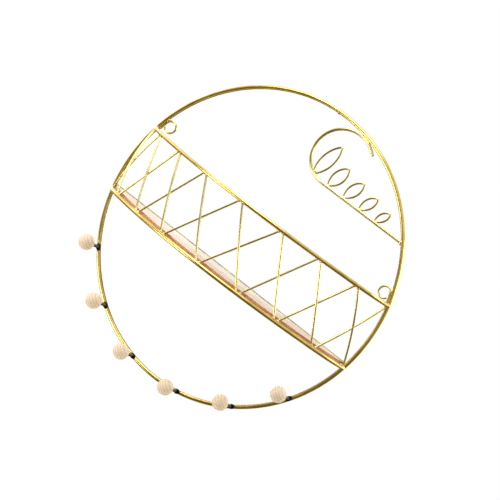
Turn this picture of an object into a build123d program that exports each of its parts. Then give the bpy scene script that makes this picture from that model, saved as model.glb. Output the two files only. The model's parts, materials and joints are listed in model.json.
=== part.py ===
from build123d import *

import os
from math import atan2, cos, degrees, radians, sin, sqrt

# A round wall rack bent and welded from gold-finished iron wire: a hoop that hangs on the wall,
# a bow-fronted basket with a crossed wire front and a wooden floor, a curled bar that carries a
# row of wire leaves, and six wooden balls on pegs along the bottom of the hoop.
#
# Millimetres. +X is to the right as a person faces the rack, +Z is up and -Y is away from the wall.
# Shapes are drawn about the hoop's centre. write_node then lowers them, so that the origin is the
# point midway between the two hanging eyelets.

# ---------------------------------------------------------------- driving dimensions
HOOP_RADIUS = 148.0          # centreline; the hoop is 300 mm across outside
HOOP_WIRE = 4.0              # wire diameters
RAIL_WIRE = 3.8
BACK_WIRE = 3.0
BAR_WIRE = 3.0
REST_WIRE = 2.5
LATTICE_WIRE = 2.0
EYELET_WIRE = 2.0
LEAF_WIRE = 2.0
PEG_WIRE = 3.0

RAIL_RISE = 34.6             # the rails lie this far above and below the hoop's centre
BOW_DEPTH = 75.6             # how far the rails stand out from the hoop's plane
BOW_END_RADIUS = 52.0        # the tighter bend at each end of a rail
BOW_END_ANGLE = 78.0         # degrees between a rail's end and the hoop's plane
BACK_RAIL_LIFT = 3.7         # the back rail lies this far above the bottom bow rail's ends
REST_BEND = 2.0              # bend radius where a rest wire turns up to the back rail
LATTICE_PITCHES = 8          # lengths of rail between the lattice joints
MIDDLE_PITCH_RATIO = 1.13    # the two middle pitches are this much longer than the others
END_STAGGER = 1.1            # lattice ends stand this far to each side of their joint
STRAIGHT_END = 4.0           # length at each end of a lattice wire that isn't bent
REST_JOINTS = {"left": 2, "middle": 4, "right": 6}   # lattice joints that the rest wires start from

BOARD_THICKNESS = 3.0
BOARD_INSET = 2.6            # from the rails' centrelines to the board's edge
BOARD_GAP = 0.1              # air between the board and the rest wires

EYELET_ANGLE = 17.7          # degrees up from the hoop's horizontal diameter
EYELET_RADIUS = 5.6          # centreline of the loop
EYELET_TURN = 312.0          # degrees of wire in the loop
EYELET_TAIL = 3.3            # degrees of hoop that the tail lies along, from the top rail up to the loop

BAR_RISE = 86.5              # height of the bar over the hoop's centre
CURL_OFFSET = 21.0           # from the hoop's upright diameter to the curl's first centre
CURL_RADIUS = 27.0           # radius of its first, tighter bend
CURL_OPENS = 140.0           # degrees from +X where the curl opens out to touch the hoop
CURL_END = 62.0              # degrees from +X where that wider bend ends
TIP_RADIUS = 46.0            # the curl opens out once more towards its free end
TIP_TURN = 11.0              # degrees
WELD_BITE = 0.15             # how deep two wires that lie side by side are welded together

LEAF_FIRST = 9.0             # distance of the first leaf from the hoop's upright diameter
LEAF_PITCH = 19.0
LEAF_LENGTHS = (37.0, 25.0, 23.0, 20.0, 16.0)
LEAF_LEAN = 14.0             # degrees from upright, for the first leaf
LEAF_LEAN_STEP = 5.0         # each leaf leans this much more than the one before
LEAF_SLIMNESS = 0.23         # half width over length
LEAF_MAX_HALF_WIDTH = 6.2
LEAF_CORNER = 1.6            # bend radius at a leaf's tip and foot

PEG_COUNT = 6
PEG_PITCH = 21.7             # degrees of hoop between pegs
BALL_RADIUS = 7.5
BALL_REACH = 29.6            # from the hoop's plane to a ball's centre
BALL_BORE_DEPTH = 9.0

# ---------------------------------------------------------------- sizes worked out from them
HALF_SPAN = sqrt(HOOP_RADIUS**2 - RAIL_RISE**2)
END_CENTRE = HALF_SPAN - BOW_END_RADIUS * sin(radians(BOW_END_ANGLE))
END_SETBACK = BOW_END_RADIUS * cos(radians(BOW_END_ANGLE))   # the end arcs' centres, behind the hoop
BOW_RISE = BOW_DEPTH + END_SETBACK
FRONT_RADIUS = (END_CENTRE**2 + BOW_RISE**2 - BOW_END_RADIUS**2) / (2 * (BOW_RISE - BOW_END_RADIUS))
FRONT_SETBACK = FRONT_RADIUS - BOW_DEPTH                     # the front arc's centre, behind the hoop
FRONT_ANGLE = atan2(END_CENTRE, FRONT_SETBACK - END_SETBACK)   # half the front arc
FRONT_HALF = FRONT_RADIUS * FRONT_ANGLE
END_ARC = BOW_END_RADIUS * (radians(BOW_END_ANGLE) - FRONT_ANGLE)
BOW_LENGTH = 2 * (FRONT_HALF + END_ARC)
PITCH = BOW_LENGTH / (LATTICE_PITCHES - 2 + 2 * MIDDLE_PITCH_RATIO)

BESIDE_HOOP = HOOP_RADIUS - HOOP_WIRE / 2 + WELD_BITE   # inner face of the hoop, less the weld
EYELET_REACH = BESIDE_HOOP - EYELET_WIRE / 2 - EYELET_RADIUS
EYELET_RISE = EYELET_REACH * sin(radians(EYELET_ANGLE))

BAR_TOUCH = BESIDE_HOOP - BAR_WIRE / 2
BAR_END = sqrt(HOOP_RADIUS**2 - BAR_RISE**2)

BACK_RISE = BACK_RAIL_LIFT - RAIL_RISE
BACK_HALF_SPAN = sqrt(HOOP_RADIUS**2 - BACK_RISE**2)
BOARD_FLOOR = -RAIL_RISE + REST_WIRE / 2 + BOARD_GAP


# ---------------------------------------------------------------- shared helpers
def write_node(name, shape):
    """Write one sub-part, lowered so that the eyelets' midpoint is the origin."""
    solids = shape.solids()
    if len(solids) != 1:
        raise ValueError(f"{name} came out as {len(solids)} solids")
    placed = Pos(0, 0, -EYELET_RISE) * solids[0]
    placed.label = name
    export_step(placed, f"parts/{name}.step")
    print(f"{name}: {placed.volume:.0f} mm3")


def bend_wire(path, diameter):
    """A round wire along a path of lines and arcs: a rod for each line, part of a torus for each arc."""
    pieces = []
    for edge in path.edges():
        section = Plane(origin=edge @ 0, z_dir=edge % 0) * Circle(diameter / 2)
        if edge.geom_type == GeomType.LINE:
            pieces.append(extrude(section, amount=edge.length))
        else:
            spin = Axis(edge.arc_center, (edge @ 0 - edge.arc_center).cross(edge % 0))
            pieces.append(revolve(section, spin, degrees(edge.length / edge.radius)))
    return pieces[0].fuse(*pieces[1:]) if len(pieces) > 1 else pieces[0]


def joint_along(joint):
    """How far along a rail a lattice joint is; a joint number may lie between two joints."""
    middle = LATTICE_PITCHES / 2
    from_middle = abs(joint - middle)
    pitches = min(from_middle, 1) * MIDDLE_PITCH_RATIO + max(from_middle - 1, 0)
    return BOW_LENGTH / 2 + (pitches if joint > middle else -pitches) * PITCH


def bow_point(along, rise, outset=0.0):
    """A point on the bow, so far along it from its left end, moved outwards by outset."""
    from_middle = along - BOW_LENGTH / 2
    side = 1 if from_middle > 0 else -1
    if abs(from_middle) <= FRONT_HALF:
        angle = abs(from_middle) / FRONT_RADIUS
        reach = FRONT_RADIUS + outset
        return Vector(side * reach * sin(angle), FRONT_SETBACK - reach * cos(angle), rise)
    angle = FRONT_ANGLE + (abs(from_middle) - FRONT_HALF) / BOW_END_RADIUS
    reach = BOW_END_RADIUS + outset
    return Vector(side * (END_CENTRE + reach * sin(angle)), END_SETBACK - reach * cos(angle), rise)


def bow_edges(rise, outset=0.0):
    """The bow's plan curve: a long front arc between two tighter end arcs."""
    stops = (0, END_ARC, BOW_LENGTH - END_ARC, BOW_LENGTH)
    return [
        ThreePointArc(*(bow_point(along, rise, outset) for along in (a, (a + b) / 2, b)))
        for a, b in zip(stops, stops[1:])
    ]


def on_hoop(angle, radius=HOOP_RADIUS):
    """A point in the hoop's plane, at an angle in degrees up from +X."""
    return Vector(radius * cos(radians(angle)), 0, radius * sin(radians(angle)))


# ---------------------------------------------------------------- hoop and basket wires
def make_hoop():
    return Rot(90, 0, 0) * Torus(HOOP_RADIUS, HOOP_WIRE / 2)


def make_bow_rail(rise):
    return bend_wire(Wire(bow_edges(rise)), RAIL_WIRE) - hoop


def make_back_rail():
    ends = [Vector(side * BACK_HALF_SPAN, 0, BACK_RISE) for side in (-1, 1)]
    return bend_wire(Line(*ends), BACK_WIRE) - hoop


def make_rest_wire(joint):
    """A level wire from the bottom bow rail, bent up at the back to the back rail's underside."""
    front = bow_point(joint_along(joint), -RAIL_RISE)
    bend_start = Vector(front.X, -REST_BEND, -RAIL_RISE)
    level = Line(front, bend_start)
    bend = TangentArc(bend_start, Vector(front.X, 0, REST_BEND - RAIL_RISE), tangent=(0, 1, 0))
    upright = Line(bend @ 1, Vector(front.X, 0, BACK_RISE))
    return bend_wire(Wire([level, bend, upright]), REST_WIRE) - bottom_rail - back_rail


def make_lattice_wire(joint, rises, outset):
    """A wire from one rail at a joint to the other rail at the next, coped against both.

    It bends with the basket's front, except for a short straight stretch at each end.
    """
    start = bow_point(joint_along(joint) + END_STAGGER, rises[0])
    middle = bow_point(joint_along(joint + 0.5), 0, outset)
    end = bow_point(joint_along(joint + 1) - END_STAGGER, rises[1])
    arc = ThreePointArc(start, middle, end)
    share = STRAIGHT_END / arc.length
    bend = arc.trim(share, 1 - share)
    first = Line(bend @ 0 - (bend % 0) * STRAIGHT_END, bend @ 0)
    last = Line(bend @ 1, bend @ 1 + (bend % 1) * STRAIGHT_END)
    return bend_wire(Wire([first, bend, last]), LATTICE_WIRE) - top_rail - bottom_rail - hoop


def make_board():
    """A thin D-shaped board that drops in between the bottom rail and the back rail."""
    curve = bow_edges(BOARD_FLOOR, -BOARD_INSET)
    outline = curve + [Line(curve[-1] @ 1, curve[0] @ 0)]
    slab = extrude(make_face(outline), amount=BOARD_THICKNESS, dir=(0, 0, 1))
    back = Pos(0, -BOARD_INSET, BOARD_FLOOR) * Box(
        2 * HALF_SPAN,
        2 * BOARD_INSET,
        4 * BOARD_THICKNESS,
        align=(Align.CENTER, Align.MIN, Align.CENTER),
    )
    return slab - back


# ---------------------------------------------------------------- eyelets
def make_eyelet():
    """The right-hand eyelet: a tail up the inside of the hoop, then a loop whose end is welded to it."""
    tail_radius = BESIDE_HOOP - EYELET_WIRE / 2
    loop_centre = (
        EYELET_REACH * cos(radians(EYELET_ANGLE)),
        EYELET_REACH * sin(radians(EYELET_ANGLE)),
    )
    tail = CenterArc((0, 0), tail_radius, EYELET_ANGLE - EYELET_TAIL, EYELET_TAIL)
    loop = CenterArc(loop_centre, EYELET_RADIUS, EYELET_ANGLE, EYELET_TURN)
    return bend_wire(Plane.XZ * Wire([tail, loop]), EYELET_WIRE) - hoop - top_rail


# ---------------------------------------------------------------- curled bar and its leaves
def make_bar():
    """A level bar from the hoop that turns up into a curl, touches the hoop and ends free.

    The curl's wider bend carries on from the tighter one, and just touches the hoop from inside.
    """
    centre = Vector(CURL_OFFSET, BAR_RISE + CURL_RADIUS)
    away = Vector(-cos(radians(CURL_OPENS)), -sin(radians(CURL_OPENS)))
    room = BAR_TOUCH - CURL_RADIUS
    growth = (room**2 - centre.length**2) / (2 * (centre.dot(away) + room))
    wide_centre = centre + away * growth
    wide_radius = CURL_RADIUS + growth
    outward = Vector(cos(radians(CURL_END)), sin(radians(CURL_END)))
    tip_centre = wide_centre + outward * (wide_radius - TIP_RADIUS)
    level = Line((BAR_END, BAR_RISE), (CURL_OFFSET, BAR_RISE))
    curl = CenterArc(centre, CURL_RADIUS, -90, CURL_OPENS - 270)
    opening = CenterArc(wide_centre, wide_radius, CURL_OPENS, CURL_END - CURL_OPENS)
    tip = CenterArc(tip_centre, TIP_RADIUS, CURL_END, -TIP_TURN)
    return bend_wire(Plane.XZ * Wire([level, curl, opening, tip]), BAR_WIRE) - hoop


def make_leaf(index):
    """A pointed loop of wire that stands on the bar."""
    length = LEAF_LENGTHS[index]
    half_width = min(LEAF_SLIMNESS * length, LEAF_MAX_HALF_WIDTH)
    lean = LEAF_LEAN + index * LEAF_LEAN_STEP
    foot = (0, 0)
    tip = (0, length)
    left = ThreePointArc(foot, (-half_width, length / 2), tip)
    right = ThreePointArc(tip, (half_width, length / 2), foot)
    blade = make_face([left, right])
    outline = fillet(blade.vertices(), LEAF_CORNER).wire()
    place = Plane.XZ * Pos(LEAF_FIRST + index * LEAF_PITCH, BAR_RISE + BAR_WIRE / 2) * Rot(0, 0, -lean)
    return bend_wire(place * outline, LEAF_WIRE) - bar


# ---------------------------------------------------------------- pegs and balls
def peg_angle(index):
    """Degrees from +X to a peg; the row is centred on the bottom of the hoop."""
    return -90 + (index - (PEG_COUNT - 1) / 2) * PEG_PITCH


def peg_end():
    return BALL_REACH - BALL_RADIUS + BALL_BORE_DEPTH


def make_peg(index):
    root = on_hoop(peg_angle(index))
    return bend_wire(Line(root, root + Vector(0, -peg_end(), 0)), PEG_WIRE) - hoop


def make_ball(index):
    """A wooden ball with a blind bore in its back, glued on its peg."""
    root = on_hoop(peg_angle(index))
    ball = Pos(root + Vector(0, -BALL_REACH, 0)) * Sphere(BALL_RADIUS)
    bore = bend_wire(Line(root, root + Vector(0, -peg_end(), 0)), PEG_WIRE)
    return ball - bore


# ---------------------------------------------------------------- the whole rack
os.makedirs("parts", exist_ok=True)

hoop = make_hoop()
write_node("hoop", hoop)

top_rail = make_bow_rail(RAIL_RISE)
bottom_rail = make_bow_rail(-RAIL_RISE)
back_rail = make_back_rail()
write_node("top_bow_rail", top_rail)
write_node("bottom_bow_rail", bottom_rail)
write_node("bottom_back_rail", back_rail)

for side, joint in REST_JOINTS.items():
    write_node(f"board_rest_wire_{side}", make_rest_wire(joint))

touching = LATTICE_WIRE / 2 + 0.01
for joint in range(LATTICE_PITCHES):
    falling = make_lattice_wire(joint, (RAIL_RISE, -RAIL_RISE), touching)
    rising = make_lattice_wire(joint, (-RAIL_RISE, RAIL_RISE), -touching)
    write_node(f"lattice_falling_{joint + 1}", falling)
    write_node(f"lattice_rising_{joint + 1}", rising)

write_node("shelf_board", make_board())

eyelet = make_eyelet()
write_node("eyelet_right", eyelet)
write_node("eyelet_left", mirror(eyelet, about=Plane.YZ))

bar = make_bar()
write_node("curled_bar", bar)
for index in range(len(LEAF_LENGTHS)):
    write_node(f"leaf_{index + 1}", make_leaf(index))

for index in range(PEG_COUNT):
    write_node(f"peg_{index + 1}", make_peg(index))
    write_node(f"ball_{index + 1}", make_ball(index))

print(f"bow {BOW_LENGTH:.1f} mm long, front radius {FRONT_RADIUS:.1f}, lattice pitch {PITCH:.2f}")
print(f"eyelets {2 * EYELET_REACH * cos(radians(EYELET_ANGLE)):.1f} mm apart, {EYELET_RISE:.2f} up")
print(f"bar {BAR_END - CURL_OFFSET:.1f} mm straight")
print(f"board from {BOARD_FLOOR - EYELET_RISE:.2f} to {BOARD_FLOOR + BOARD_THICKNESS - EYELET_RISE:.2f}")
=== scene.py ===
# %% [markdown]
# # A round wall rack of gold wire
# The rack is a hoop of 4 mm iron wire that hangs on two nails. A bow-fronted basket with a wooden
# floor crosses its middle, a curled bar with wire leaves fills the upper right, and six wooden
# balls on dark pegs line the bottom. Its shape and sizes come from a fixed frame. The lesson gives
# that frame its finishes, and adds what a welder, a turner and a joiner would leave on it.

# %% Load the frame
import json
import math

import bmesh
import bpy
from mathutils import Matrix, Vector, noise
from mathutils.bvhtree import BVHTree


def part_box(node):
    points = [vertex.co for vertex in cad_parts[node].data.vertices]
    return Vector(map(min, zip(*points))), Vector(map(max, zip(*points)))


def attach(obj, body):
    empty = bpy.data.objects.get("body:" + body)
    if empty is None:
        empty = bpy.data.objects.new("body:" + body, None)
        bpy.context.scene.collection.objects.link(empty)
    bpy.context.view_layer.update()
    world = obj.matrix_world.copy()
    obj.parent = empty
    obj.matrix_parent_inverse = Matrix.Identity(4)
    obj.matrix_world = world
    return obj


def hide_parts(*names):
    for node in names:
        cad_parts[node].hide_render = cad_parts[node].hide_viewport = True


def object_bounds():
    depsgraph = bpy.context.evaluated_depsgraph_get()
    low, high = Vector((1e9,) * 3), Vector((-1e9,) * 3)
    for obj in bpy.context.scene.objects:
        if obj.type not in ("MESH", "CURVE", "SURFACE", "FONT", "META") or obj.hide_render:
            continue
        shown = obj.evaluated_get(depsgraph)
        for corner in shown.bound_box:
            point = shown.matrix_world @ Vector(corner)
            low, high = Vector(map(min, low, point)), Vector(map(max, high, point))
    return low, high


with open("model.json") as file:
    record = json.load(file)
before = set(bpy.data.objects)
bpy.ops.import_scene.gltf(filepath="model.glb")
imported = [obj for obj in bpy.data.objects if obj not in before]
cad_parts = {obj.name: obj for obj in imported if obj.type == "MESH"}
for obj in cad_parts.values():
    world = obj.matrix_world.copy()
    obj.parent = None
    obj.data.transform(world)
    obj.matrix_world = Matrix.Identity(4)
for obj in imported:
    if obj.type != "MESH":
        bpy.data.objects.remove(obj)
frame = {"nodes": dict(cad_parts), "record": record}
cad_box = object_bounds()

MM = 0.001

# %% [markdown]
# ## The camera
# A long lens from over three metres away keeps the hoop close to a true ellipse. The rack is seen
# a little from its right and from above. The camera is rolled, so that the rack leans clockwise
# in the picture, as a product shot often does to fill a square frame.

# %% Camera
AZIMUTH = math.radians(22.23)
ELEVATION = math.radians(4.35)
ROLL = math.radians(36.14)
DISTANCE = 3.193
LENS_MM = 252.0
SENSOR_MM = 36.0
CLIP_NEAR = 0.1
CLIP_FAR = 20.0
AIM_RIGHT = 1.3 * MM      # how far right of the hoop's centre the camera aims, in the picture
AIM_UP = -3.8 * MM

low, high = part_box("hoop")
hoop_centre = (low + high) / 2
wire_radius = (high.y - low.y) / 2
hoop_radius = (high.x - low.x - (high.y - low.y)) / 2     # to the middle of the wire

to_camera = Vector((
    math.sin(AZIMUTH) * math.cos(ELEVATION),
    -math.cos(AZIMUTH) * math.cos(ELEVATION),
    math.sin(ELEVATION),
))
level_right = Vector((math.cos(AZIMUTH), math.sin(AZIMUTH), 0))
level_up = to_camera.cross(level_right)
picture_right = math.cos(ROLL) * level_right + math.sin(ROLL) * level_up
picture_up = to_camera.cross(picture_right)

camera = bpy.data.objects.new("camera", bpy.data.cameras.new("camera"))
bpy.context.scene.collection.objects.link(camera)
camera.data.lens = LENS_MM
camera.data.sensor_width = SENSOR_MM
camera.data.clip_start, camera.data.clip_end = CLIP_NEAR, CLIP_FAR
aim = hoop_centre + AIM_RIGHT * picture_right + AIM_UP * picture_up
camera_place = aim + DISTANCE * to_camera
turn = Matrix((picture_right, picture_up, to_camera)).transposed().to_4x4()
camera.matrix_world = Matrix.Translation(camera_place) @ turn
bpy.context.scene.camera = camera
print("hoop radius", round(hoop_radius / MM, 1), "mm")
print("camera at", [round(c, 3) for c in camera_place])

# %% [markdown]
# ## Nodes and colours
# Every material below is built from nodes. One helper adds a node with its settings and its links,
# and another turns a colour from the hex code that a picker shows to the linear numbers that
# Blender works in.

# %% Helpers for nodes and colours
def linear(hex_code):
    """An sRGB hex colour as linear red, green and blue, and an alpha of 1."""
    parts = [int(hex_code[i:i + 2], 16) / 255 for i in (1, 3, 5)]
    return (*[p / 12.92 if p <= 0.04045 else ((p + 0.055) / 1.055) ** 2.4 for p in parts], 1.0)


def add_node(tree, kind, values=None, links=None, **settings):
    """Add a node; values fill its sockets, links join sockets of it to outputs of other nodes."""
    node = tree.nodes.new(kind)
    for name, value in settings.items():
        setattr(node, name, value)
    for socket, value in (values or {}).items():
        node.inputs[socket].default_value = value
    for socket, source in (links or {}).items():
        tree.links.new(source, node.inputs[socket])
    return node


def color_ramp(tree, source, stops):
    """A ramp through (position, hex colour) stops, driven by source."""
    node = add_node(tree, "ShaderNodeValToRGB", links={"Fac": source})
    elements = node.color_ramp.elements
    while len(elements) < len(stops):
        elements.new(0.5)
    for element, (position, hex_code) in zip(elements, stops):
        element.position = position
        element.color = linear(hex_code)
    return node


def new_material(name):
    """An empty material with its output node and the piece's own coordinates."""
    material = bpy.data.materials.new(name)
    material.use_nodes = True
    tree = material.node_tree
    tree.nodes.clear()
    output = add_node(tree, "ShaderNodeOutputMaterial")
    coordinates = add_node(tree, "ShaderNodeTexCoord").outputs["Object"]
    return material, tree, output, coordinates


def finish_material(tree, output, values, links):
    """Join a Principled shader with these sockets to the output."""
    shader = add_node(tree, "ShaderNodeBsdfPrincipled", values=values, links=links)
    tree.links.new(shader.outputs["BSDF"], output.inputs["Surface"])


print("white is", [round(c, 2) for c in linear("#ffffff")])

# %% [markdown]
# ## The studio
# Shiny wire has no colour of its own to show: it shows what stands around it. A bright wall
# all round would leave it pale and flat, so a studio for bright metal mixes big white panels with
# dark gaps and black flags. The world here is such a room: brighter than white behind the rack,
# light above and dim low down. One colour ramp over height makes the back wall, another the front
# of the room, and a fixed direction, out through the back of the rack, tells which of the two a
# reflection meets. To the camera itself the world is plain white.

# %% World
BACK_STRENGTH = 1.8
FRONT_STRENGTH = 1.05
FRONT_ENDS = -0.35       # 1 is straight out behind the rack, and -1 straight out in front of it
BACK_BEGINS = 0.25

world = bpy.data.worlds.new("studio")
bpy.context.scene.world = world
world.use_nodes = True
studio = world.node_tree
studio.nodes.clear()
direction = add_node(studio, "ShaderNodeTexCoord").outputs["Generated"]
ways = add_node(studio, "ShaderNodeSeparateXYZ", links={"Vector": direction})
height = add_node(
    studio, "ShaderNodeMapRange", values={"From Min": -1.0}, links={"Value": ways.outputs["Z"]},
)
away = add_node(
    studio, "ShaderNodeVectorMath", operation="DOT_PRODUCT",
    values={1: -to_camera}, links={0: direction},
)
behind = add_node(
    studio, "ShaderNodeMapRange", interpolation_type="SMOOTHSTEP",
    values={"From Min": FRONT_ENDS, "From Max": BACK_BEGINS},
    links={"Value": away.outputs["Value"]},
)
print("the front of the room fades into the back wall between", FRONT_ENDS, "and", BACK_BEGINS)

# %% The room's two sides
back_wall = color_ramp(studio, height.outputs["Result"], (
    (0.0, "#6a614c"), (0.34, "#80775f"), (0.45, "#f4f4f2"), (0.6, "#ffffff"), (0.8, "#d8d8d6"),
    (1.0, "#d0d0d0"),
))
front_room = color_ramp(studio, height.outputs["Result"], (
    (0.0, "#6a614c"), (0.38, "#7d7560"), (0.55, "#a19c8c"), (0.72, "#f4f4f2"), (1.0, "#e8e8e8"),
))
back_light = add_node(
    studio, "ShaderNodeBackground", values={"Strength": BACK_STRENGTH},
    links={"Color": back_wall.outputs["Color"]},
)
front_light = add_node(
    studio, "ShaderNodeBackground", values={"Strength": FRONT_STRENGTH},
    links={"Color": front_room.outputs["Color"]},
)
room_light = add_node(
    studio, "ShaderNodeMixShader",
    links={"Fac": behind.outputs["Result"], 1: front_light.outputs["Background"],
           2: back_light.outputs["Background"]},
)
plain_white = add_node(
    studio, "ShaderNodeBackground", values={"Color": linear("#ffffff"), "Strength": 1.0},
)
light_path = add_node(studio, "ShaderNodeLightPath")
mixed = add_node(
    studio, "ShaderNodeMixShader",
    links={"Fac": light_path.outputs["Is Camera Ray"], 1: room_light.outputs["Shader"],
           2: plain_white.outputs["Background"]},
)
add_node(studio, "ShaderNodeOutputWorld", links={"Surface": mixed.outputs["Shader"]})
bpy.context.scene.view_settings.view_transform = "Standard"
print("the back wall is", BACK_STRENGTH, "times its colours, the front", FRONT_STRENGTH, "times")

# %% [markdown]
# ## Light panels
# Three square panels stand round the rack, as softboxes would: the key above it in the picture
# and one at each side. Each is seen in the wires as a long pale streak, and they shape the balls.

# %% Light panels
def add_panel(name, place, size, watts):
    """A square light panel at a place given from the hoop's centre, facing it."""
    data = bpy.data.lights.new(name, "AREA")
    data.size = size
    data.energy = watts
    panel = bpy.data.objects.new(name, data)
    bpy.context.scene.collection.objects.link(panel)
    offset = Vector(place)
    facing = offset.to_track_quat("Z", "Y").to_matrix().to_4x4()
    panel.matrix_world = Matrix.Translation(hoop_centre + offset) @ facing
    return panel


KEY_DISTANCE = 1.3
SIDE_DISTANCE = 1.6
KEY_SIZE = 0.9
SIDE_SIZE = 0.7

key_place = KEY_DISTANCE * (picture_up + 0.45 * to_camera).normalized()
right_place = SIDE_DISTANCE * (picture_right + 0.2 * to_camera - 0.1 * picture_up).normalized()
left_place = SIDE_DISTANCE * (0.25 * to_camera - picture_right).normalized()
for name, place, size, watts in (
    ("key_panel", key_place, KEY_SIZE, 13.0),
    ("right_panel", right_place, SIDE_SIZE, 8.0),
    ("left_panel", left_place, SIDE_SIZE, 11.0),
):
    panel = add_panel(name, place, size, watts)
    print(name, "at", [round(c, 2) for c in panel.location])

# %% [markdown]
# ## The floor
# The rack hangs, so the floor is only a pale round plate well below it. It catches a soft
# shadow in the views from above and gives the wires something to stand over. The wires don't
# mirror it, so that their undersides stay dark.

# %% Floor
FLOOR_DROP = 0.42
FLOOR_RADIUS = 0.6
PAPER_CLOUDS = 6.0            # faint cloudy patches in the paper, to the metre


def mesh_object(name, mesh, materials):
    """Turn a bmesh into an object of the scene, with its materials in order."""
    data = bpy.data.meshes.new(name)
    mesh.to_mesh(data)
    mesh.free()
    for material in materials:
        data.materials.append(material)
    made = bpy.data.objects.new(name, data)
    bpy.context.scene.collection.objects.link(made)
    return made


paper, tree, output, coordinates = new_material("matt_white_paper_floor")
mottle = add_node(
    tree, "ShaderNodeTexNoise", values={"Scale": PAPER_CLOUDS, "Detail": 3.0},
    links={"Vector": coordinates},
)
tint = color_ramp(tree, mottle.outputs["Fac"], ((0.3, "#f1f0ee"), (0.7, "#f8f7f5")))
finish_material(tree, output, {"Roughness": 0.9}, {"Base Color": tint.outputs["Color"]})

mesh = bmesh.new()
bmesh.ops.create_circle(mesh, cap_ends=True, segments=128, radius=FLOOR_RADIUS)
below = hoop_centre - Vector((0, 0, FLOOR_DROP))
bmesh.ops.translate(mesh, verts=mesh.verts, vec=below)
floor = mesh_object("floor", mesh, [paper])
floor.visible_glossy = False
print("floor", FLOOR_DROP, "m below the hoop's centre")

# %% [markdown]
# ## A black flag
# A round wire that mirrors nothing dark has no edge. So a black flag is hung in the middle of the
# ring, out of the camera's sight, and each wire then carries a thin dark line on the side that
# faces it. Here the flag is a black ball behind the basket, which only reflections can see.

# %% Flag
FLAG_RADIUS = 78 * MM
FLAG_BACK = 86 * MM
FLAG_LIFT = 12 * MM
FLOCK_NAP = 2 * MM

flock, tree, output, coordinates = new_material("black_flock_cloth")
nap = add_node(
    tree, "ShaderNodeTexNoise", values={"Scale": 1 / FLOCK_NAP}, links={"Vector": coordinates},
)
tint = color_ramp(tree, nap.outputs["Fac"], ((0.3, "#050505"), (0.7, "#0b0b0a")))
finish_material(
    tree, output, {"Roughness": 1.0, "Specular IOR Level": 0.0},
    {"Base Color": tint.outputs["Color"]},
)

mesh = bmesh.new()
bmesh.ops.create_uvsphere(mesh, u_segments=32, v_segments=16, radius=FLAG_RADIUS)
flag_place = hoop_centre + Vector((0, FLAG_BACK, FLAG_LIFT))
bmesh.ops.translate(mesh, verts=mesh.verts, vec=flag_place)
flag = mesh_object("black_flag", mesh, [flock])
for ray in ("camera", "diffuse", "shadow", "transmission", "volume_scatter"):
    setattr(flag, f"visible_{ray}", False)
print("flag", 2 * FLAG_RADIUS / MM, "mm wide")

# %% [markdown]
# ## Gold on iron wire
# The wire is drawn iron, bent, welded, then plated with a thin brass-gold coat and sealed with
# clear lacquer. Three things make that read as gold and not as yellow paint: a metal shader whose
# colour tints the reflections, a clear coat on top whose reflections stay white, and small
# changes in tone and gloss where the plating is thicker or the lacquer has pooled.
#
# The thin wires of the basket and the curl are given a paler gold than the heavy hoop and
# rails. The wires behind and under the board get a darker gold, painted shade, and a rougher
# surface. The weld beads were rough under the plating, so they are rougher and redder.

# %% Gold plating under lacquer
PLATING_PATCH = 17 * MM       # size of the patches where the plating varies
LACQUER_RIPPLE = 5.0 * MM     # waviness of the lacquer
DRAWN_SCORE = 0.5 * MM        # fine scoring from the drawing die, drawn coarse enough to show
LACQUER = {"Coat Weight": 0.45, "Coat Roughness": 0.07, "Coat IOR": 1.5}


def plated_gold(name, pale, deep, roughness, ripple):
    """Bright gold plating under clear lacquer; ripple is how far its surface rises and falls."""
    material, tree, output, coordinates = new_material(name)
    patches = add_node(
        tree, "ShaderNodeTexNoise", links={"Vector": coordinates},
        values={"Scale": 1 / PLATING_PATCH, "Detail": 3.0, "Roughness": 0.6},
    )
    tint = color_ramp(tree, patches.outputs["Fac"], ((0.32, deep), (0.68, pale)))
    scores = add_node(
        tree, "ShaderNodeTexNoise", values={"Scale": 1 / DRAWN_SCORE, "Detail": 2.0},
        links={"Vector": coordinates},
    )
    gloss = add_node(
        tree, "ShaderNodeMapRange", links={"Value": scores.outputs["Fac"]},
        values={"From Min": 0.3, "From Max": 0.7,
                "To Min": roughness * 0.85, "To Max": roughness * 1.2},
    )
    waves = add_node(
        tree, "ShaderNodeTexNoise", values={"Scale": 1 / LACQUER_RIPPLE, "Detail": 0.5},
        links={"Vector": coordinates},
    )
    bump = add_node(
        tree, "ShaderNodeBump", values={"Strength": 0.6, "Distance": ripple},
        links={"Height": waves.outputs["Fac"]},
    )
    finish_material(
        tree, output, {"Metallic": 1.0, **LACQUER},
        {"Base Color": tint.outputs["Color"], "Roughness": gloss.outputs["Result"],
         "Normal": bump.outputs["Normal"]},
    )
    return material


gold = plated_gold("gold_plated_lacquered_iron_wire", "#ead27c", "#c8a748", 0.17, 0.02 * MM)
weld_gold = plated_gold("gold_plated_weld_bead", "#efd9a6", "#c79c5c", 0.3, 0.15 * MM)
thin_gold = plated_gold("paler_gold_on_thin_wire", "#e8dc94", "#c3b25e", 0.17, 0.02 * MM)
# The back wires' darker gold is painted shade for the wires that lie behind and under the board.
back_gold_painted_shade = plated_gold("back_wire_gold_painted_shade", "#a8966a", "#7d6a3e", 0.5, 0.05 * MM)
print("plating varies over", round(PLATING_PATCH / MM), "mm")

# %% Gold on each wire
slots = {part["node"]: part["material_slot"] for part in frame["record"]["subparts"]}


def nodes_in(slot):
    """The names of the frame's nodes that take one material slot of the record."""
    return [name for name, own_slot in slots.items() if own_slot == slot]


def coat_node(name, material):
    """Give a node of the frame one material in place of its own."""
    frame["nodes"][name].data.materials.clear()
    frame["nodes"][name].data.materials.append(material)


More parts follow.
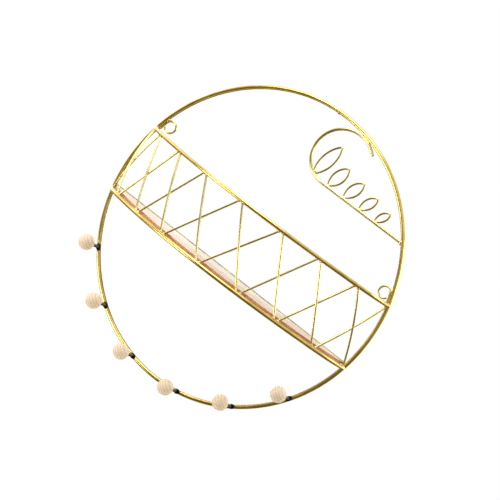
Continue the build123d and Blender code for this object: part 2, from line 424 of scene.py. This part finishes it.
gold_nodes = nodes_in("gold_wire")
lattice_wires = [name for name in gold_nodes if name.startswith("lattice_")]
leaves = [name for name in gold_nodes if name.startswith("leaf_")]
rest_wires = [name for name in gold_nodes if name.startswith("board_rest")]
thin_wires = [*lattice_wires, *leaves, "eyelet_left", "eyelet_right", "curled_bar"]
back_wires = ["bottom_back_rail", *rest_wires]
for name in gold_nodes:
    coat_node(name, thin_gold if name in thin_wires else back_gold_painted_shade if name in back_wires else gold)
print(len(gold_nodes), "gold wires,", len(thin_wires), "of them paler,", len(back_wires), "dull")

# %% [markdown]
# ## Burnished pegs
# The pegs were welded on after plating, or masked from it: they are bare steel gone nearly black
# from heat and oil. The eye reads that as a dark metal with one narrow, hard highlight and a
# trace of straw and olive tint from tempering.

# %% Heat-blackened steel
TEMPER_PATCH = 4 * MM         # size of the patches of straw and olive
SCALE_DEPTH = 0.1 * MM        # how deep the burnt scale is

burnt_steel, tree, output, coordinates = new_material("oil_blackened_steel_peg")
temper = add_node(
    tree, "ShaderNodeTexNoise", values={"Scale": 1 / TEMPER_PATCH, "Detail": 4.0},
    links={"Vector": coordinates},
)
tint = color_ramp(
    tree, temper.outputs["Fac"], ((0.3, "#14120a"), (0.55, "#2a2512"), (0.75, "#4a3d1c")),
)
gloss = add_node(
    tree, "ShaderNodeMapRange", links={"Value": temper.outputs["Fac"]},
    values={"From Min": 0.3, "From Max": 0.7, "To Min": 0.28, "To Max": 0.46},
)
scale_bump = add_node(
    tree, "ShaderNodeBump", values={"Strength": 0.5, "Distance": SCALE_DEPTH},
    links={"Height": temper.outputs["Fac"]},
)
finish_material(
    tree, output, {"Metallic": 1.0},
    {"Base Color": tint.outputs["Color"], "Roughness": gloss.outputs["Result"],
     "Normal": scale_bump.outputs["Normal"]},
)
peg_nodes = nodes_in("peg_metal")
for name in peg_nodes:
    coat_node(name, burnt_steel)
print(len(peg_nodes), "pegs are blackened steel")

# %% [markdown]
# ## Weld beads
# Where two wires meet, the welder leaves a small bead that swells round the joint. A bead starts
# as a ball of a few hundred faces; its surface is pushed about a little, so that no two beads
# match, and it is squeezed. The places are found by asking the two wires where they touch, so
# that no position is typed twice.

# %% Where two wires touch
SAMPLE_SPACING = 0.7 * MM
WELD_GAP = 0.15 * MM          # wires nearer than this count as touching

surfaces = {}
for name, wire in frame["nodes"].items():
    corners = [vertex.co for vertex in wire.data.vertices]
    faces = [face.vertices for face in wire.data.polygons]
    surfaces[name] = BVHTree.FromPolygons(corners, faces)


def touching_points(first, second, reach=WELD_GAP):
    """Points along the edges of the first wire's mesh that lie within reach of the second wire."""
    mesh = frame["nodes"][first].data
    points = []
    for edge in mesh.edges:
        start, end = (mesh.vertices[i].co for i in edge.vertices)
        steps = max(1, round((end - start).length / SAMPLE_SPACING))
        points += [start.lerp(end, step / steps) for step in range(steps + 1)]
    return [p for p in points if surfaces[second].find_nearest(p, reach)[0] is not None]


def middle_of(points):
    """The mean of some points."""
    return sum(points, Vector()) / len(points)


first_joint = middle_of(touching_points("lattice_falling_1", "top_bow_rail"))
print("the first lattice wire is welded at", [round(c / MM, 1) for c in first_joint], "mm")

# %% One bead, and a piece made of beads
BEAD_LUMP = 0.9 * MM       # size of the lumps on a bead
BEAD_UNEVEN = 0.16         # how far a lump rises, as a share of the bead's radius
WALL = cad_box[1][1]       # beads are filed flush with the back of the hoop, which lies on the wall


def add_bead(mesh, place, radius, shape=(1.0, 1.0, 1.0), along=None):
    """A weld bead: a ball, squeezed to shape, its third axis turned to lie along a direction."""
    turn = (along or Vector((0, 0, 1))).to_track_quat("Z", "Y").to_matrix().to_4x4()
    made = bmesh.ops.create_icosphere(mesh, subdivisions=3, radius=radius)
    for vertex in made["verts"]:
        lump = noise.noise((vertex.co + place) / BEAD_LUMP)
        vertex.co *= 1 + BEAD_UNEVEN * lump
    bmesh.ops.scale(mesh, verts=made["verts"], vec=shape)
    bmesh.ops.transform(mesh, verts=made["verts"], matrix=Matrix.Translation(place) @ turn)
    for vertex in made["verts"]:
        vertex.co.y = min(vertex.co.y, WALL)


def mesh_piece(name, mesh, materials, body, smooth=True):
    """Turn a bmesh into a finished piece that rides on a body."""
    for face in mesh.faces:
        face.smooth = smooth
    piece = mesh_object(name, mesh, materials)
    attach(piece, body)
    return piece


print("a bead's lumps are", BEAD_LUMP / MM, "mm wide")

# %% Beads of the basket
LATTICE_BEAD = 1.5 * MM
CROSSING_BEAD = 1.35 * MM
CROSSING_REACH = 0.6 * MM

for rail in ("top_bow_rail", "bottom_bow_rail"):
    beads = bmesh.new()
    for name in lattice_wires:
        add_bead(beads, middle_of(touching_points(name, rail)), LATTICE_BEAD, (1.0, 1.0, 0.85))
    piece = mesh_piece(f"weld_beads_{rail}", beads, [weld_gold], "rack")
    print(piece.name, len(piece.data.polygons), "faces")

beads = bmesh.new()
falling_wires = [name for name in lattice_wires if "falling" in name]
for name in falling_wires:
    other = name.replace("falling", "rising")
    near = touching_points(name, other, CROSSING_REACH)
    near += touching_points(other, name, CROSSING_REACH)
    add_bead(beads, middle_of(near), CROSSING_BEAD, (1.0, 0.8, 0.8))
mesh_piece("weld_beads_crossings", beads, [weld_gold], "rack")
print(len(falling_wires), "crossings are welded")

# %% Beads of the rails, the rest wires, the bar and the leaves
RAIL_BEAD = 2.5 * MM
REST_BEAD = 1.5 * MM
REST_BEAD_DROP = Vector((0, 0, -0.6 * MM))
LEAF_BEAD = 1.6 * MM

beads = bmesh.new()
for rail in ("top_bow_rail", "bottom_bow_rail"):
    points = touching_points(rail, "hoop")
    for side in (-1, 1):
        joint = middle_of([p for p in points if p.x * side > 0])
        add_bead(beads, joint, RAIL_BEAD, (1.0, 1.0, 0.9))
mesh_piece("weld_beads_rail_ends", beads, [weld_gold], "rack")

beads = bmesh.new()
for name in rest_wires:
    for rail in ("bottom_bow_rail", "bottom_back_rail"):
        joint = middle_of(touching_points(name, rail))
        add_bead(beads, joint + REST_BEAD_DROP, REST_BEAD, (1.0, 1.0, 0.8))
mesh_piece("weld_beads_rest_wires", beads, [weld_gold], "rack")

beads = bmesh.new()
for name in leaves:
    add_bead(beads, middle_of(touching_points(name, "curled_bar")), LEAF_BEAD, (1.2, 0.9, 0.6))
mesh_piece("weld_beads_leaves", beads, [weld_gold], "rack")
print("4 rail ends,", 2 * len(rest_wires), "rest wire ends and", len(leaves), "leaves are welded")

# %% Beads of the bar, the eyelets and the hoop's own joint
HOOP_JOINT = math.radians(92)      # where the hoop's ends are butt welded, up from +X
HOOP_COLLAR = 2.03 * MM
HOOP_NUB = 1.2 * MM                # what is left of the weld on the inside of the hoop
LAP_BEAD = 1.25 * MM               # at each end of a stretch where two wires lie side by side
LAP_SHAPE = (1.0, 1.0, 1.5)


def on_hoop(angle, radius=hoop_radius):
    """A point in the hoop's plane, at an angle up from +X."""
    return hoop_centre + radius * Vector((math.cos(angle), 0, math.sin(angle)))


def along_hoop(place):
    """The hoop's direction beside a place."""
    out = place - hoop_centre
    return Vector((-out.z, 0, out.x)).normalized()


def ends_of(points, axis):
    """The first and the last of some points along an axis, 0 for X and 2 for Z."""
    return [pick(points, key=lambda point: point[axis]) for pick in (min, max)]


beads = bmesh.new()
seam = on_hoop(HOOP_JOINT)
add_bead(beads, seam, HOOP_COLLAR, (1.0, 1.0, 0.55), along_hoop(seam))
nub = on_hoop(HOOP_JOINT, hoop_radius - wire_radius)
add_bead(beads, nub, HOOP_NUB, (1.0, 0.8, 1.1), along_hoop(nub))
touches = touching_points("curled_bar", "hoop")
bar_end = [p for p in touches if p.x > hoop_radius / 2]
add_bead(beads, middle_of(bar_end), RAIL_BEAD, (0.9, 0.9, 0.9))
curl_ends = ends_of([p for p in touches if p.x <= hoop_radius / 2], 0)
tail_ends = [ends_of(touching_points(f"eyelet_{side}", "hoop"), 2) for side in ("left", "right")]
for end in (*curl_ends, *tail_ends[0], *tail_ends[1]):
    add_bead(beads, end, LAP_BEAD, LAP_SHAPE, along_hoop(end))
mesh_piece("weld_beads_hoop", beads, [weld_gold], "rack")
lap = (curl_ends[1] - curl_ends[0]).length
print("the curl lies on the hoop over", round(lap / MM, 1), "mm")

# %% Collars at the feet of the pegs
PEG_COLLAR = 2.6 * MM
SCORCH = 2.25 * MM                      # the blackened swelling along the hoop at each foot
SCORCH_BACK = Vector((0, 0.6 * MM, 0))

beads = bmesh.new()
for name in peg_nodes:
    foot = middle_of(touching_points(name, "hoop"))
    add_bead(beads, foot, PEG_COLLAR, (0.8, 0.95, 0.8), Vector((0, 1, 0)))
    add_bead(beads, foot + SCORCH_BACK, SCORCH, (1.0, 1.0, 1.7), along_hoop(foot))
mesh_piece("weld_collars_pegs", beads, [burnt_steel], "rack")
print(len(peg_nodes), "pegs are welded to the hoop")

# %% [markdown]
# ## Wooden balls
# Each ball is a raw turned beech bead, bored from the back and glued on its peg. A sphere
# starts it. One cut opens the bore, whose rim is turned inwards and down to a floor, and the
# front keeps a tiny flat where the tool left the wood. The growth rings are nearly straight
# across so small a piece, and they run slantwise over the ball, with the short dark flecks that
# beech shows beside them. Raw turned wood is matt, so the light on it has no hard highlight.

# %% Raw beech
RING_SPACING = 2.6 * MM
FLECK_LENGTH = 1.6 * MM
GRAIN_SLANT = (0, math.radians(50), 0)
WAVE_PERIOD = math.pi / 10       # Blender's Wave texture repeats at this distance


def multiply_tint(tree, mask, colour, shade):
    """Where mask is 1, colour times the hex colour shade; where it is 0, colour alone."""
    node = add_node(
        tree, "ShaderNodeMix", data_type="RGBA", blend_type="MULTIPLY",
        links={"Factor": mask, "A": colour},
    )
    node.inputs["B"].default_value = linear(shade)
    return node


beech, tree, output, coordinates = new_material("raw_turned_beech")
across = add_node(
    tree, "ShaderNodeMapping", values={"Rotation": GRAIN_SLANT, "Scale": (1, 0.12, 1)},
    links={"Vector": coordinates},
)
rings = add_node(
    tree, "ShaderNodeTexWave", wave_type="BANDS", bands_direction="X", wave_profile="SAW",
    values={"Scale": WAVE_PERIOD / RING_SPACING, "Distortion": 1.2, "Detail": 1.0,
            "Detail Scale": 0.8},
    links={"Vector": across.outputs["Vector"]},
)
ring_tint = color_ramp(
    tree, rings.outputs["Fac"],
    ((0.0, "#e4d0b5"), (0.6, "#dfcaae"), (0.9, "#ceb493"), (1.0, "#d8c2a3")),
)
fleck_stretch = add_node(
    tree, "ShaderNodeMapping", values={"Rotation": GRAIN_SLANT, "Scale": (3.2, 0.5, 1)},
    links={"Vector": coordinates},
)
flecks = add_node(
    tree, "ShaderNodeTexNoise", values={"Scale": 1 / FLECK_LENGTH, "Detail": 3.0},
    links={"Vector": fleck_stretch.outputs["Vector"]},
)
fleck_mask = color_ramp(tree, flecks.outputs["Fac"], ((0.55, "#000000"), (0.72, "#ffffff")))
wood_tint = multiply_tint(
    tree, fleck_mask.outputs["Color"], ring_tint.outputs["Color"], "#f6ebdc",
)
wood_bump = add_node(
    tree, "ShaderNodeBump", values={"Strength": 0.3, "Distance": 0.01 * MM},
    links={"Height": rings.outputs["Fac"]},
)
finish_material(
    tree, output, {"Roughness": 0.62, "IOR": 1.5},
    {"Base Color": wood_tint.outputs["Result"], "Normal": wood_bump.outputs["Normal"]},
)
print("rings", RING_SPACING / MM, "mm apart")

# %% Turned balls
BORE_CHAMFER = 0.35 * MM
BORE_DEPTH = 2.5 * MM
FRONT_FLAT = 0.06 * MM


def open_rim(mesh):
    """The edges round the holes of a mesh."""
    return [edge for edge in mesh.edges if edge.is_boundary]


def turned_ball(centre, radius, peg_radius):
    """A ball with its bored back towards +Y and a small flat at its front."""
    mesh = bmesh.new()
    bmesh.ops.create_uvsphere(mesh, u_segments=64, v_segments=40, radius=radius)
    bmesh.ops.rotate(mesh, verts=mesh.verts, matrix=Matrix.Rotation(math.pi / 2, 3, "X"))
    rim_radius = peg_radius + BORE_CHAMFER
    bore_plane = Vector((0, math.sqrt(radius**2 - rim_radius**2), 0))
    front_plane = Vector((0, FRONT_FLAT - radius, 0))
    for plane, out in ((bore_plane, Vector((0, 1, 0))), (front_plane, Vector((0, -1, 0)))):
        bmesh.ops.bisect_plane(
            mesh, geom=[*mesh.verts, *mesh.edges, *mesh.faces], dist=1e-7,
            plane_co=plane, plane_no=out, clear_outer=True,
        )
    front_rim = [edge for edge in open_rim(mesh) if edge.verts[0].co.y < 0]
    bmesh.ops.holes_fill(mesh, edges=front_rim, sides=0)
    for inward, depth in ((peg_radius / rim_radius, BORE_CHAMFER), (1.0, BORE_DEPTH)):
        extruded = bmesh.ops.extrude_edge_only(mesh, edges=open_rim(mesh))
        ring = [item for item in extruded["geom"] if isinstance(item, bmesh.types.BMVert)]
        bmesh.ops.scale(mesh, verts=ring, vec=(inward, 1, inward))
        bmesh.ops.translate(mesh, verts=ring, vec=(0, -depth, 0))
    bmesh.ops.holes_fill(mesh, edges=open_rim(mesh), sides=0)
    bmesh.ops.recalc_face_normals(mesh, faces=mesh.faces)
    bmesh.ops.translate(mesh, verts=mesh.verts, vec=centre)
    return mesh


peg_low, peg_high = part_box("peg_3")
peg_radius = (peg_high.z - peg_low.z) / 2
ball_nodes = nodes_in("ball_wood")
for name in ball_nodes:
    low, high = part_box(name)
    mesh = turned_ball((low + high) / 2, (high.x - low.x) / 2, peg_radius)
    piece = mesh_piece(f"wooden_{name}", mesh, [beech], "rack")
    for face in piece.data.polygons:
        face.use_smooth = len(face.vertices) < 5     # only the two filled ends have more corners
    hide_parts(name)
print(len(ball_nodes), "balls,", round((high.x - low.x) / MM, 1), "mm across")

# %% [markdown]
# ## The basket's floor
# The floor is a thin pine board, sawn to the bow's curve and left raw. Its outline comes from a
# merged copy of the frame's board. The sharp rims are bevelled as sandpaper would leave them.
# The top is planed and pale, with grain along the length, and has painted warm light towards the
# front, by the gold bow. The sawn edge has painted shade and a painted reflection of the gold bow,
# so it is darker and orange-brown, and it has a material of its own.

# %% Pine, planed and sawn
PINE_RING = 3.2 * MM
FIBRE_WIDTH = 0.45 * MM
PINE_HEART = (0, 0.035, 0.16)     # puts the heart of the log well below the board
# Painted warm light on the board's top towards the bow: how far back it reaches and how it fades.
PAINTED_GLOW_REACH = 36 * MM              # the warmer front reaches about this far back from the bow
PAINTED_GLOW_FADE = 12 * MM               # and fades over this much on each side of that line

board_low, board_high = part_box("shelf_board")
half_width = (board_high.x - board_low.x) / 2
depth = board_high.y - board_low.y
bow_radius = (half_width**2 + depth**2) / (2 * depth)
bow_centre = Vector((0, board_low.y + bow_radius, board_high.z))
painted_glow_line = bow_radius - PAINTED_GLOW_REACH


def pine(name, early, late, fibre_shade, painted_front_glow, roughness, roughen):
    """Straight-grained pine along X; roughen is how deep its fibres stand."""
    material, tree, output, coordinates = new_material(name)
    heart = add_node(
        tree, "ShaderNodeMapping", values={"Location": PINE_HEART, "Scale": (0.06, 1, 1)},
        links={"Vector": coordinates},
    )
    rings = add_node(
        tree, "ShaderNodeTexWave", wave_type="RINGS", rings_direction="X", wave_profile="SAW",
        values={"Scale": WAVE_PERIOD / PINE_RING, "Distortion": 3.0, "Detail": 2.0,
                "Detail Scale": 0.8},
        links={"Vector": heart.outputs["Vector"]},
    )
    tint = color_ramp(
        tree, rings.outputs["Fac"], ((0.0, early), (0.7, early), (0.93, late), (1.0, early)),
    )
    stretch = add_node(
        tree, "ShaderNodeMapping", values={"Scale": (0.05, 1, 1)}, links={"Vector": coordinates},
    )
    fibres = add_node(
        tree, "ShaderNodeTexNoise", values={"Scale": 1 / FIBRE_WIDTH, "Detail": 3.0},
        links={"Vector": stretch.outputs["Vector"]},
    )
    fibre_mask = color_ramp(tree, fibres.outputs["Fac"], ((0.45, "#000000"), (0.7, "#ffffff")))
    shaded = multiply_tint(
        tree, fibre_mask.outputs["Color"], tint.outputs["Color"], fibre_shade,
    )
    reach = add_node(
        tree, "ShaderNodeVectorMath", operation="DISTANCE", values={1: bow_centre},
        links={0: coordinates},
    )
    front = add_node(
        tree, "ShaderNodeMapRange", interpolation_type="SMOOTHSTEP",
        values={"From Min": painted_glow_line - PAINTED_GLOW_FADE, "From Max": painted_glow_line + PAINTED_GLOW_FADE},
        links={"Value": reach.outputs["Value"]},
    )
    # Painted warm light: the front of the top is tinted warmer, beside the gold bow.
    painted_glow_tint = multiply_tint(
        tree, front.outputs["Result"], shaded.outputs["Result"], painted_front_glow,
    )
    bump = add_node(
        tree, "ShaderNodeBump", values={"Strength": 0.6, "Distance": roughen},
        links={"Height": fibres.outputs["Fac"]},
    )
    finish_material(
        tree, output, {"Roughness": roughness, "IOR": 1.5},
        {"Base Color": painted_glow_tint.outputs["Result"], "Normal": bump.outputs["Normal"]},
    )
    return material


# The top's warm front colour is painted warm light; its grain colours are the pine's own.
planed_pine = pine(
    "planed_raw_pine", "#d9d3c8", "#c8beaf", "#e6e0d6", "#f5e6de", roughness=0.55,
    roughen=0.03 * MM,
)
# The edge's orange-brown is painted shade with a painted reflection of the gold bow; its rougher,
# deeper fibres are the sawn wood's own.
edge_pine_painted_shade = pine(
    "pine_edge_painted_shade_and_reflection", "#dca376", "#b27a4c", "#c99872", "#ffffff", roughness=0.75,
    roughen=0.08 * MM,
)
print("pine rings", round(PINE_RING / MM, 1), "mm apart")

# %% Board
RIM_BEVEL = 0.4 * MM
MERGE_DISTANCE = 0.001 * MM
FLAT_ANGLE = math.radians(0.2)      # faces that meet flatter than this are one face
RIM_ANGLE = math.radians(60)        # edges sharper than this are rims

mesh = bmesh.new()
mesh.from_mesh(frame["nodes"]["shelf_board"].data)
bmesh.ops.remove_doubles(mesh, verts=mesh.verts, dist=MERGE_DISTANCE)
bmesh.ops.dissolve_limit(mesh, angle_limit=FLAT_ANGLE, verts=mesh.verts, edges=mesh.edges)
rims = [edge for edge in mesh.edges if edge.calc_face_angle(0) > RIM_ANGLE]
bmesh.ops.bevel(
    mesh, geom=rims, offset=RIM_BEVEL, segments=3, affect="EDGES", profile=0.5, material=-1,
    clamp_overlap=True,
)
for face in mesh.faces:
    # Edge faces take the edge material, whose darker colour is painted shade and a painted
    # reflection of the gold bow.
    face.material_index = 1 if abs(face.normal.z) < 0.5 else 0
floor_board = mesh_piece(
    "pine_floor_board", mesh, [planed_pine, edge_pine_painted_shade], "board", smooth=False,
)
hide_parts("shelf_board")
print("the board has", len(floor_board.data.polygons), "faces")
